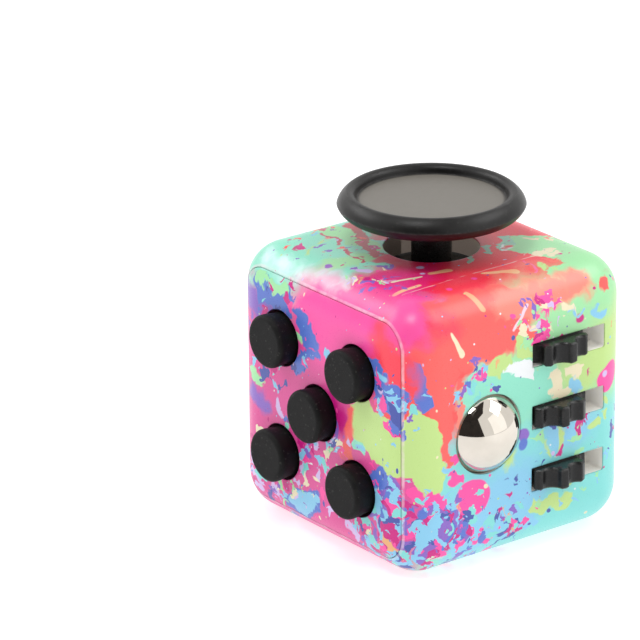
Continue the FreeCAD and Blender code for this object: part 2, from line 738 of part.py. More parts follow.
def rocker():
    """The switch: two faces that meet in a shallow fold, a hub for the pin and a tail."""
    rise = ROCKER_REACH * math.tan(math.radians(ROCKER_TILT))
    steps = [
        (ROCKER_FRONT + rise, -ROCKER_REACH),
        (ROCKER_FRONT, 0),
        (ROCKER_FRONT + rise, ROCKER_REACH),
        (ROCKER_BACK, ROCKER_REACH),
    ]
    width = 2 * ROCKER_HALF_WIDTH
    side = (0, -ROCKER_HALF_WIDTH, 0)
    body = outline((ROCKER_BACK, -ROCKER_REACH), steps).extrude(Y * width)
    body.translate(Vector(*side))
    body = body.common(rod(ROCKER_REACH, side, Y, width))
    hub = rod(ROCKER_HUB, side, Y, width)
    half, thick = ROCKER_TAIL_HALF, ROCKER_TAIL_ROUND
    tail = block((-ROCKER_TAIL, -half, -thick), (0, half, thick))
    tip = rod(thick, (-ROCKER_TAIL, -half, 0), Y, 2 * half)
    whole = joined([body, hub, tail, tip]).cut(rod(PIN_RADIUS + RUNNING, side, Y, width))
    whole.rotate(Vector(0, 0, 0), Y, ROCKER_TILT)
    whole.translate(Vector(ROCKER_PIVOT, 0, MIDDLE))
    return whole


def rocker_pin():
    """The steel pin that the rocker tips on."""
    half = BRACKET_HALF_Y
    return rod(PIN_RADIUS, (ROCKER_PIVOT, -half, MIDDLE), Y, 2 * half)


def rocker_bracket():
    """The bracket behind the rocker, with an ear at each end of the pin."""
    half = BRACKET_HALF_Y
    plate = block(
        (BRACKET_BACK, -half, MIDDLE - BRACKET_HALF_Z), (BRACKET_FRONT, half, MIDDLE + BRACKET_HALF_Z)
    )
    low, high = MIDDLE - EAR_HALF_Z, MIDDLE + EAR_HALF_Z
    ears = [
        block((BRACKET_BACK, -half, low), (ROOM - SEAM, -EAR_INSIDE, high)),
        block((BRACKET_BACK, EAR_INSIDE, low), (ROOM - SEAM, half, high)),
    ]
    holes = [rod(PIN_RADIUS + TIGHT, (ROCKER_PIVOT, -half, MIDDLE), Y, 2 * half)]
    for z in bracket_boss_heights():
        holes.append(rod(SCREW_SHANK + TIGHT, (BRACKET_BACK, 0, z), X, WALL))
    return joined([plate] + ears).cut(holes)


def rocker_bracket_screws():
    """Two screws through the bracket into the housing."""
    return Part.makeCompound([screw((BRACKET_BACK, 0, z), X) for z in bracket_boss_heights()])


def rocker_spring():
    """A bowed leaf spring that the rocker's tail snaps across."""
    foot = BRACKET_FRONT + TIGHT
    inner_crown = LEAF_CROWN - LEAF_THICK
    steps = [
        ((inner_crown, MIDDLE), (foot, MIDDLE + LEAF_HALF_LENGTH)),
        (foot + LEAF_THICK, MIDDLE + LEAF_HALF_LENGTH),
        ((LEAF_CROWN, MIDDLE), (foot + LEAF_THICK, MIDDLE - LEAF_HALF_LENGTH)),
    ]
    strip = outline((foot, MIDDLE - LEAF_HALF_LENGTH), steps).extrude(Y * 2 * ROCKER_TAIL_HALF)
    strip.translate(Vector(0, -ROCKER_TAIL_HALF, 0))
    bead = rod(LEAF_BEAD, (LEAF_BEAD_X, -ROCKER_TAIL_HALF, MIDDLE), Y, 2 * ROCKER_TAIL_HALF)
    return joined([strip, bead.common(block((foot, -HALF, 0), (HALF, HALF, SIDE)))])


# Dial

def spin_dial():
    """The dial: a disc with a finger dimple, and a shaft with a groove for its clip."""
    inner = HALF - DIAL_RECESS + REST_GAP * 2
    outer = HALF + DIAL_STANDOUT
    groove = COLLAR_END - WASHER_THICK - CLIP_THICK - 4 * REST_GAP
    steps = [
        (DIAL_SHAFT, DIAL_SHAFT_END),
        (DIAL_SHAFT, groove),
        (CLIP_SEAT, groove),
        (CLIP_SEAT, groove + CLIP_THICK + REST_GAP),
        (DIAL_SHAFT, groove + CLIP_THICK + REST_GAP),
        (DIAL_SHAFT, inner),
        (DIAL_RADIUS, inner),
        (DIAL_RADIUS, outer - DIAL_ROUND),
        ((DIAL_RADIUS - DIAL_ROUND * (1 - math.sqrt(0.5)), outer - DIAL_ROUND * (1 - math.sqrt(0.5))),
         (DIAL_RADIUS - DIAL_ROUND, outer)),
        (0, outer),
    ]
    disc = turned((0, DIAL_SHAFT_END), steps, (0, 0, MIDDLE), Y)
    dimple = Vector(0, outer + DIMPLE_SPHERE - DIMPLE_DEPTH, MIDDLE + DIMPLE_OFFSET)
    return disc.cut(Part.makeSphere(DIMPLE_SPHERE, dimple))


def dial_clip():
    """The open clip in the shaft's groove."""
    start = COLLAR_END - WASHER_THICK - CLIP_THICK - 4 * REST_GAP + REST_GAP / 2
    whole = ring(CLIP_OUTSIDE, CLIP_SEAT + TIGHT, (0, start, MIDDLE), Y, CLIP_THICK)
    mouth = block((-CLIP_SEAT / 2, start, MIDDLE), (CLIP_SEAT / 2, start + CLIP_THICK, SIDE))
    return whole.cut(mouth)


def dial_washer():
    """The washer between the clip and the collar."""
    start = COLLAR_END - WASHER_THICK - REST_GAP
    return ring(WASHER_OUTSIDE, DIAL_SHAFT + RUNNING, (0, start, MIDDLE), Y, WASHER_THICK)


def pieces():
    """Every separate piece, by name."""
    made = {
        "housing": housing(),
        "click_cover": click_cover(),
        "click_plate": click_plate(),
        "click_plate_screws": click_plate_screws(),
        "roll_frame": roll_frame(),
        "roll_frame_screws": roll_frame_screws(),
        "gear_axle": gear_axle(),
        "roller_ball": roller_ball(),
        "ball_cup": ball_cup(),
        "ball_spring": ball_spring(),
        "glide_disc": glide_disc(),
        "glide_stem": glide_stem(),
        "cross_slide": cross_slide(),
        "slide_tray": slide_tray(),
        "slide_tray_screws": slide_tray_screws(),
        "centring_spring": centring_spring(),
        "rocker": rocker(),
        "rocker_pin": rocker_pin(),
        "rocker_bracket": rocker_bracket(),
        "rocker_bracket_screws": rocker_bracket_screws(),
        "rocker_spring": rocker_spring(),
        "spin_dial": spin_dial(),
        "dial_clip": dial_clip(),
        "dial_washer": dial_washer(),
    }
    for name, (y, z) in button_places().items():
        made["button_cap_" + name] = button_cap(y, z)
        made["button_plunger_" + name] = button_plunger(y, z)
        if name in SILENT_BUTTONS:
            made["silent_spring_" + name] = silent_spring(y, z)
        else:
            made["snap_dome_" + name] = snap_dome(y, z)
    for name, height in gear_heights().items():
        made["gear_" + name] = gear(height, TOP_GEAR_TURN if name == "top" else LOWER_GEARS_TURN)
    return made


os.makedirs("parts", exist_ok=True)
for name, shape in pieces().items():
    print(name, len(shape.Solids), round(shape.Volume, 2), shape.isValid())
    shape.exportStep("parts/" + name + ".step")
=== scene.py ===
import json
import math
from collections import namedtuple

import bpy
from mathutils import Matrix, Vector


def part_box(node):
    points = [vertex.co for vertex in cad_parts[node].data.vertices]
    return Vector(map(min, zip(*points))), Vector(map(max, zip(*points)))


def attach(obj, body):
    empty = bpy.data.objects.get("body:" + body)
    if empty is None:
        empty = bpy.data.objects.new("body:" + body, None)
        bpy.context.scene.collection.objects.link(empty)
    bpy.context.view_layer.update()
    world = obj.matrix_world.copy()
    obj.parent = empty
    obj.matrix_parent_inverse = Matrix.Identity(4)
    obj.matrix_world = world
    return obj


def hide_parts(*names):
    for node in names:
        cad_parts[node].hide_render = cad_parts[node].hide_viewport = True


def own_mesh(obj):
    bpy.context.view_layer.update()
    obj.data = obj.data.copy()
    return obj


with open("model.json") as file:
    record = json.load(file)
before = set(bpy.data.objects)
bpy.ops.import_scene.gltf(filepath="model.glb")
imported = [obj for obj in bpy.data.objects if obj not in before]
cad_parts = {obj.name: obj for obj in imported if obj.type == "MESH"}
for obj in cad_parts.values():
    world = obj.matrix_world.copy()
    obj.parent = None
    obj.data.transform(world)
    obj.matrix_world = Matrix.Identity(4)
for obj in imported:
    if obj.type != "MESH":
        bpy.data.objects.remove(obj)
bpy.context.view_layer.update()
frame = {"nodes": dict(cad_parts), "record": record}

# Fidget cube: looks only. Places are in millimetres here and turned into metres when they are used.
# The CAD frame gives every shape; the printed pattern, the rubber, plastics and metals are made below.

MM = 0.001

housing_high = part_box("housing")[1]
HALF = housing_high.x / MM
SIDE = housing_high.z / MM
MIDDLE = SIDE / 2
EDGE_ROUND = 4.9
COVER_HALF = 14.15        # half the width of the cover with the buttons
COVER_CORNER = 2.9
SEAM_BAND = 0.22          # how far the painted highlight band reaches beside the cover's seam, each way from its middle
STICK_HOLE = 5.6
PAINTED_SLOT_GLOW = 0.14      # painted glow of the white plastic in the gears' slots: an emission that stands in for light on their walls
BUTTON_TRAVEL = 1.0
BALL_TRAVEL = 0.9
RECESS = 8.57             # radius of the hollow in the disc
SHELL_BEVEL = 0.2         # how round the shell's printed edges look
BLACK_BEVEL = 0.25        # the same for the black pieces
SHARP_ANGLE = 28          # degrees between two faces from which their edge stays sharp

# Camera
VIEW_TURN = -37.39        # degrees round the cube
VIEW_RISE = 20.90         # degrees above the table
VIEW_ROLL = -0.45         # degrees
VIEW_DISTANCE = 560.6
VIEW_LENS = 272.3
VIEW_LEFT = 12.9          # the camera aims this far to the left of the cube's centre
VIEW_ABOVE = 6.9          # and this far above it
SENSOR_WIDTH = 36

# Studio, in metres
TABLE_REACH = 3.0
TABLE_GLOW = 0.69
WORLD_LIGHT = 0.52
MIRRORED_LIGHT = 0.5      # how much more of the white surroundings the mirrored rays see
CARD_DISTANCE = 0.9       # from the cube to the dark card
CARD_MIDDLE = (-148, 35)  # azimuth and rise in degrees, here and round its rim
CARD_RIM = [
    (-178, 0), (-177, 35), (-170, 62), (-120, 80), (-10, 72), (-82, 68), (-96, 58), (-122, 45),
    (-114, 22), (-107, 0), (-140, 0),
]

# Inks of the print
PINK = "#ee58a0"
HOT_PINK = "#ff50a8"
MAGENTA = "#d21c86"
ROSE = "#c43c78"
RED = "#ea1a44"
CORAL = "#ff625e"
SALMON = "#ff8c7c"
ORANGE = "#f0b47c"
PEACH = "#ffb489"
CREAM = "#f4e9c6"
LIME = "#c4e48c"
GREEN = "#a6e8ac"
MINT = "#92e6cc"
TEAL = "#86dfdb"
SKY = "#8ccff0"
BLUE = "#5a78d0"
NAVY = "#4858ac"
PURPLE = "#8c66c6"
LILAC = "#d9c2f0"
WHITE = "#f2f6f8"

Daub = namedtuple("Daub", "ink start end width taper soft ragged")


def linear(code):
    """A linear colour from a hex code."""
    parts = [int(code[k:k + 2], 16) / 255 for k in (1, 3, 5)]
    return [p / 12.92 if p <= 0.04045 else ((p + 0.055) / 1.055) ** 2.4 for p in parts] + [1.0]


class Nodes:
    """Short calls for building a node tree."""

    def __init__(self, tree):
        self.tree = tree

    def add(self, kind, values=None, **settings):
        node = self.tree.nodes.new(kind)
        for name, value in settings.items():
            setattr(node, name, value)
        for name, value in (values or {}).items():
            self.feed(node.inputs[name], value)
        return node

    def feed(self, socket, value):
        if isinstance(value, bpy.types.NodeSocket):
            self.tree.links.new(value, socket)
        else:
            socket.default_value = value

    def math(self, operation, *values):
        node = self.add("ShaderNodeMath", operation=operation)
        for socket, value in zip(node.inputs, values):
            self.feed(socket, value)
        return node.outputs[0]

    def vector(self, operation, *values):
        node = self.add("ShaderNodeVectorMath", operation=operation)
        for socket, value in zip(node.inputs, values):
            self.feed(socket, value)
        scalar = operation in ("DOT_PRODUCT", "LENGTH", "DISTANCE")
        return node.outputs["Value" if scalar else "Vector"]

    def scaled(self, vector, factor):
        node = self.add("ShaderNodeVectorMath", operation="SCALE")
        self.feed(node.inputs[0], vector)
        self.feed(node.inputs["Scale"], factor)
        return node.outputs["Vector"]

    def ramp(self, value, low, high, to_low=0.0, to_high=1.0):
        node = self.add("ShaderNodeMapRange", interpolation_type="SMOOTHSTEP", clamp=False)
        for socket, part in zip(node.inputs, (value, low, high, to_low, to_high)):
            self.feed(socket, part)
        return node.outputs["Result"]

    def mix(self, share, under, over):
        node = self.add("ShaderNodeMix", data_type="RGBA")
        self.feed(node.inputs[0], share)
        self.feed(node.inputs[6], under)
        self.feed(node.inputs[7], over)
        return node.outputs[2]

    def noise(self, place, scale, detail=2.0, roughness=0.5):
        values = {"Vector": place, "Scale": scale, "Detail": detail, "Roughness": roughness}
        return self.add("ShaderNodeTexNoise", values)

    def cells(self, place, scale):
        return self.add("ShaderNodeTexVoronoi", {"Vector": place, "Scale": scale})

    def swatches(self, value, inks):
        node = self.add("ShaderNodeValToRGB", {"Fac": value})
        ramp = node.color_ramp
        ramp.interpolation = "CONSTANT"
        while len(ramp.elements) < len(inks):
            ramp.elements.new(1.0)
        for k, ink in enumerate(inks):
            ramp.elements[k].position = k / len(inks)
            ramp.elements[k].color = linear(ink)
        return node.outputs["Color"]

    def bump(self, height, strength, distance_mm, normal=None):
        values = {"Height": height, "Strength": strength, "Distance": distance_mm * MM}
        if normal is not None:
            values["Normal"] = normal
        return self.add("ShaderNodeBump", values).outputs["Normal"]


def new_material(name):
    """An empty material with its shader: returns the material, its node helper and the shader node."""
    material = bpy.data.materials.new(name)
    material.use_nodes = True
    tree = material.node_tree
    tree.nodes.clear()
    nodes = Nodes(tree)
    shader = nodes.add("ShaderNodeBsdfPrincipled")
    output = nodes.add("ShaderNodeOutputMaterial")
    tree.links.new(shader.outputs["BSDF"], output.inputs["Surface"])
    return material, nodes, shader


def place_in_mm(nodes):
    """The point on the piece, in millimetres, in the cube's own frame."""
    coordinates = nodes.add("ShaderNodeTexCoord").outputs["Object"]
    return nodes.scaled(coordinates, 1 / MM)


# The printed pattern

def left(y, z):
    """A point on the button side."""
    return (-HALF, y, z)


def right(x, z):
    """A point on the gear side."""
    return (x, -HALF, z)


def top(x, y):
    """A point on the stick side."""
    return (x, y, SIDE)


def daub(ink, start, end=None, width=1.0, taper=0.0, soft=0.12, ragged=True):
    """One stroke of ink: a dot, or a stroke between two points that can narrow towards its end."""
    return Daub(ink, start, end or start, width, taper, soft, ragged)


def daub_group():
    """The node group that lays one daub over the colours under it."""
    tree = bpy.data.node_groups.new("daub", "ShaderNodeTree")
    sockets = [
        ("Place", "NodeSocketVector"), ("Start", "NodeSocketVector"), ("End", "NodeSocketVector"),
        ("Width", "NodeSocketFloat"), ("Taper", "NodeSocketFloat"), ("Soft", "NodeSocketFloat"),
        ("Ink", "NodeSocketColor"), ("Under", "NodeSocketColor"),
    ]
    for name, kind in sockets:
        tree.interface.new_socket(name, in_out="INPUT", socket_type=kind)
    tree.interface.new_socket("Colour", in_out="OUTPUT", socket_type="NodeSocketColor")
    nodes = Nodes(tree)
    given = nodes.add("NodeGroupInput").outputs
    stroke = nodes.vector("SUBTRACT", given["End"], given["Start"])
    reach = nodes.vector("SUBTRACT", given["Place"], given["Start"])
    along = nodes.math(
        "DIVIDE", nodes.vector("DOT_PRODUCT", reach, stroke), nodes.vector("DOT_PRODUCT", stroke, stroke)
    )
    share = nodes.math("MINIMUM", nodes.math("MAXIMUM", along, 0.0), 1.0)
    nearest = nodes.scaled(stroke, share)
    away = nodes.vector("DISTANCE", reach, nearest)
    narrowing = nodes.math("SUBTRACT", 1.0, nodes.math("MULTIPLY", share, given["Taper"]))
    depth = nodes.math("SUBTRACT", nodes.math("MULTIPLY", given["Width"], narrowing), away)
    low = nodes.math("MULTIPLY", given["Soft"], -1.0)
    cover = nodes.ramp(depth, low, given["Soft"])
    result = nodes.add("NodeGroupOutput")
    tree.links.new(nodes.mix(cover, given["Under"], given["Ink"]), result.inputs["Colour"])
    return tree


def ground_inks():
    """The broad colours that each of the three printed sides starts from."""
    return [
        daub("#e4509c", left(0, MIDDLE), width=20.5, soft=1.5),
        daub("#f82246", top(2, -3), width=15.5, soft=1.5),
        daub(MINT, top(-10, 11), top(-11, 5), 8, soft=1.5),
        daub("#ea2e8c", top(-13.5, -8), top(-12, -7), 4.2, soft=2.5),
        daub("#fb5454", right(-12, 24), right(2, 30), 8, soft=1.5),
        daub(TEAL, right(-1, 9), right(12, 9), 12, soft=1.5),
        daub(GREEN, right(6, 24), right(15, 24), 8, soft=2),
    ]


def button_side_inks():
    """The strokes on the button side, the widest first."""
    return [
        daub(HOT_PINK, left(1, 28), left(-7, 27), 4.5, soft=2.5),
        daub("#ff4256", left(-13, 28.5), left(-13, 25), 3.2, soft=1.6),
        daub("#ff55a4", (-13.4, -12.0, 32.6), (-15.4, -14.8, 30.2), 2.2, soft=1.4),
        daub(PURPLE, left(13, 27), left(9, 26), 1.6, soft=0.8),
        daub(PURPLE, left(12.5, 15.2), left(10.4, 14.4), 1.2, soft=0.6),
        daub(BLUE, left(10.2, 28.6), left(6.2, 28.4), 1.7),
        daub(GREEN, left(10.6, 29.6), left(6.6, 29.4), 0.9),
        daub(BLUE, left(3.6, 27.8), left(2.6, 27.0), 0.7),
        daub(BLUE, left(2.6, 26.0), left(1.6, 25.0), 1.3),
        daub(BLUE, left(4.0, 21.0), left(-0.6, 24.4), 1.1, taper=0.5),
        daub(GREEN, left(3.8, 24.5), width=0.8),
        daub(SKY, left(-0.9, 24.4), left(-1.6, 24.1), 0.5),
        daub(BLUE, left(-10.2, 24.4), left(-13.4, 22.0), 1.9),
        daub(SKY, left(-10.9, 24.7), left(-12.2, 24.4), 0.35, ragged=False),
        daub(LILAC, left(-11.4, 22.9), width=0.45, ragged=False),
        daub(LIME, left(-8.8, 18.0), left(-13.4, 15.6), 3.0),
        daub(MAGENTA, left(-2.6, 18.6), left(-4.2, 16.2), 1.2, soft=0.6),
        daub(CORAL, left(-6.2, 18.2), left(-5.0, 12.4), 0.8, soft=0.4),
        daub(BLUE, left(-11.0, 11.6), left(-13.4, 9.4), 2.0),
        daub(SKY, left(-10.8, 8.6), left(-12.6, 7.0), 1.8),
        daub(MINT, left(-7.6, 14.8), width=1.1),
        daub(SKY, left(-7.9, 14.8), width=0.6),
        daub(LILAC, left(-5.7, 14.8), width=0.5),
        daub(GREEN, left(-2.0, 12.6), width=0.75),
        daub(SKY, left(-2.0, 14.2), left(-3.2, 13.8), 0.6),
        daub(SKY, left(-3.6, 12.4), width=0.5),
        daub(SKY, left(-1.0, 10.9), left(-1.6, 10.6), 0.5),
        daub(GREEN, left(12.9, 17.7), left(11.6, 17.4), 0.9),
        daub(SKY, left(8.4, 17.3), left(8.0, 16.8), 0.6),
        daub(LILAC, left(7.6, 15.2), left(7.0, 14.2), 0.6),
        daub(BLUE, left(6.2, 13.6), width=0.6),
        daub(MINT, left(5.6, 12.4), width=0.7),
        daub(WHITE, left(4.0, 9.6), left(1.2, 9.8), 0.14, soft=0.05, ragged=False),
        daub(LILAC, left(-0.9, 10.2), left(-1.6, 9.0), 0.22, taper=0.6, soft=0.05, ragged=False),
        daub(LILAC, left(-6.4, 12.6), left(-8.4, 12.4), 0.16, soft=0.05, ragged=False),
        daub(CREAM, left(0.3, 8.1), width=0.5),
        daub(BLUE, left(5.4, 3.6), left(1.6, 4.8), 1.6),
        daub(SKY, left(5.0, 3.8), left(1.8, 4.9), 1.2),
        daub(LILAC, left(8.6, 4.4), left(8.0, 3.6), 0.7),
        daub(LILAC, left(11.6, 3.0), left(10.6, 2.0), 0.8),
        daub(LILAC, left(-5.6, 4.4), left(-6.6, 3.4), 0.7),
        daub(MAGENTA, left(-7.8, 5.6), left(-8.6, 3.2), 0.7),
        daub(CREAM, left(-8.8, 4.8), left(-10.2, 1.6), 0.5, taper=0.5),
        daub(CREAM, left(-10.0, 3.8), left(-11.6, 1.4), 0.35, taper=0.5),
        daub(ORANGE, left(-12.4, 4.6), left(-13.0, 3.8), 1.2),
        daub(MAGENTA, left(-11.2, 5.6), left(-13.6, 2.4), 0.35, ragged=True),
        daub(PURPLE, left(-13.4, 12.2), left(-14.0, 9.0), 0.8),
    ]


def gear_side_inks():
    """The strokes on the gear side, the widest first."""
    return [
        daub(TEAL, right(0, 6), right(12, 8), 10, soft=3),
        daub(SKY, right(-8, 6), right(-1, 8), 4.5, soft=2.5),
        daub(SKY, right(5, 13.6), right(9, 14.4), 2.2, soft=1.5),
        daub(GREEN, right(2, 25), right(15, 24), 7.5, soft=3),
        daub(LIME, right(9, 21), right(15, 24), 3.6, soft=2.5),
        daub(MINT, right(-6.4, 21.6), right(2, 20), 3.2, soft=0.8),
        daub(CORAL, right(-13.5, 29.5), right(-3.0, 29.5), 4.4, soft=0.5),
        daub("#ff3a5c", right(-15, 31.5), right(-11, 31.5), 2.2, soft=1.6),
        daub(SALMON, right(-2, 31), right(9, 31.5), 2.2, soft=0.8),
        daub(CORAL, right(-2, 28), right(2, 26), 1.6, taper=0.6),
        daub(CORAL, right(-12.2, 26), right(-11.4, 18), 2.5, taper=0.5),
        daub(CORAL, right(-11.4, 19), right(-10.6, 13.6), 0.9, taper=0.5),
        daub(CORAL, right(-9.0, 24), right(-8.6, 20), 0.7, taper=0.5),
        daub(SALMON, right(-8.6, 20), right(-9.4, 17), 0.7, taper=0.5),
        daub(BLUE, right(-16.0, 25.6), right(-14.0, 21.6), 1.7, taper=0.3),
        daub(PURPLE, right(-15.6, 21.0), right(-14.6, 20.4), 0.8),
        daub(LIME, right(-15.4, 18.0), right(-13.0, 13.2), 2.9, taper=0.2),
        daub(CORAL, right(-14.7, 19.5), width=0.3),
        daub(MAGENTA, right(-14.7, 13.5), width=0.25),
        daub(BLUE, right(-8.1, 23.2), width=0.75),
        daub(HOT_PINK, right(-7.0, 23.5), right(-5.9, 23.5), 0.42),
        daub(LIME, right(-4.2, 24.2), right(-3.0, 24.0), 1.2),
        daub(ORANGE, right(-3.8, 24.2), width=0.45),
        daub(WHITE, right(-1.4, 23.4), right(0.6, 22.4), 1.0),
        daub(LIME, right(0.6, 24.6), right(-0.4, 26.0), 0.8),
        daub(HOT_PINK, right(-14.8, 10.4), right(-12.0, 9.6), 1.5),
        daub(HOT_PINK, right(-7.6, 9.2), right(-6.8, 9.0), 2.1, ragged=False),
        daub(HOT_PINK, right(-10.2, 12.1), right(-9.0, 11.9), 0.7),
        daub(HOT_PINK, right(-10.0, 14.6), right(-9.6, 14.0), 0.55),
        daub(SKY, right(-11.4, 13.6), right(-10.6, 12.9), 0.5),
        daub(PURPLE, right(-15.0, 8.6), right(-10.6, 6.6), 1.4),
        daub(BLUE, right(-10.7, 8.5), width=0.8),
        daub(SKY, right(-13.0, 6.4), right(-11.2, 5.4), 1.0),
        daub(MAGENTA, right(-14.8, 7.4), right(-12.6, 7.0), 0.5),
        daub(MAGENTA, right(-13.2, 4.5), right(-10.8, 4.0), 0.65),
        daub(NAVY, right(-14.2, 2.9), right(-12.8, 3.1), 0.4),
        daub(MAGENTA, right(-15.0, 0.8), right(-9.0, 0.4), 0.9, taper=0.5),
        daub(ORANGE, right(-9.4, 8.4), right(-7.8, 4.8), 0.32, taper=0.4),
        daub(ORANGE, right(-2.5, 6.8), right(-1.4, 5.2), 0.4),
        daub(ORANGE, right(-1.2, 3.6), right(-0.4, 2.4), 0.36),
        daub(MAGENTA, right(-4.7, 5.8), right(-3.3, 6.5), 0.35),
        daub(NAVY, right(-3.7, 3.1), right(-2.9, 3.3), 0.4),
        daub(NAVY, right(-0.9, 10.1), width=0.36),
        daub(NAVY, right(-2.2, 10.0), width=0.26),
        daub(NAVY, right(-1.2, 9.2), width=0.26),
        daub(NAVY, right(-0.4, 9.4), right(0.7, 8.3), 0.1, soft=0.05),
        daub(MAGENTA, right(-1.6, 8.0), width=0.4),
        daub(PURPLE, right(0.2, 14.8), width=0.8, ragged=False),
        daub(BLUE, right(0.1, 13.7), width=0.7, ragged=False),
        daub(LIME, right(-1.8, 12.2), width=0.9, soft=0.5),
        daub(LIME, right(1.9, 5.7), right(3.2, 5.3), 1.1),
        daub(LIME, right(5.2, 5.4), right(6.4, 5.3), 1.2),
        daub(CREAM, right(4.8, 20.4), width=1.2),
        daub(CREAM, right(7.2, 20.8), right(8.0, 20.4), 0.8),
        daub(CREAM, right(5.2, 18.8), right(6.0, 18.6), 0.9),
        daub(SKY, right(7.7, 18.8), width=1.0),
        daub(HOT_PINK, right(12.5, 18.4), right(13.6, 19.2), 1.5, ragged=False),
        daub(LILAC, right(12.3, 19.3), width=0.4, ragged=False),
        daub(MAGENTA, right(8.3, 27.0), width=0.6, ragged=False),
        daub(MAGENTA, right(12.3, 26.7), width=0.42),
        daub(MAGENTA, right(10.2, 20.3), width=0.38),
        daub(CORAL, right(13.3, 24.6), width=0.34),
        daub(CORAL, right(12.9, 30.0), width=0.7),
        daub(CORAL, right(11.9, 31.2), width=0.55),
        daub(CREAM, right(5.4, 29.2), right(9.4, 27.6), 0.42, taper=0.4),
        daub(SKY, right(7.0, 28.2), right(9.0, 27.8), 0.3),
        daub("#ffd6e8", (0.9, -16.1, 30.3), right(-1.4, 27.9), 0.2, soft=0.06, ragged=False),
        daub(HOT_PINK, right(-2.4, 28.8), right(-1.6, 30.0), 0.36),
        daub(HOT_PINK, right(0.2, 28.2), right(1.2, 27.9), 0.36),
        daub(HOT_PINK, right(2.2, 29.0), right(3.2, 28.8), 0.5),
        daub(CREAM, right(1.6, 27.6), right(4.2, 26.6), 0.7, taper=0.4),
        daub(SKY, right(10.9, 27.6), right(12.2, 26.9), 0.45),
        daub(CREAM, right(-10.6, 30.4), right(-9.0, 26.8), 0.16, taper=-1.4, soft=0.06, ragged=False),
        daub(PEACH, (-5.9, -13.7, 32.7), (-5.1, -15.6, 31.2), 0.32, taper=-0.3, soft=0.06, ragged=False),
        daub(LIME, right(2.4, 14.0), right(4.2, 11.0), 0.3, soft=0.2),
        daub(LIME, right(5.8, 14.4), right(6.0, 12.2), 0.4, soft=0.2),
        daub(MAGENTA, right(5.8, 11.2), right(6.3, 11.6), 0.5),
        daub(CREAM, right(5.4, 10.6), width=0.35),
        daub(LIME, right(11.0, 13.6), width=0.7),
        daub(LIME, right(12.6, 14.2), width=0.6),
        daub(NAVY, right(8.2, 14.4), right(9.8, 13.6), 0.12, soft=0.05),
        daub(NAVY, right(1.2, 11.0), right(2.2, 10.5), 0.12, soft=0.05),
    ]


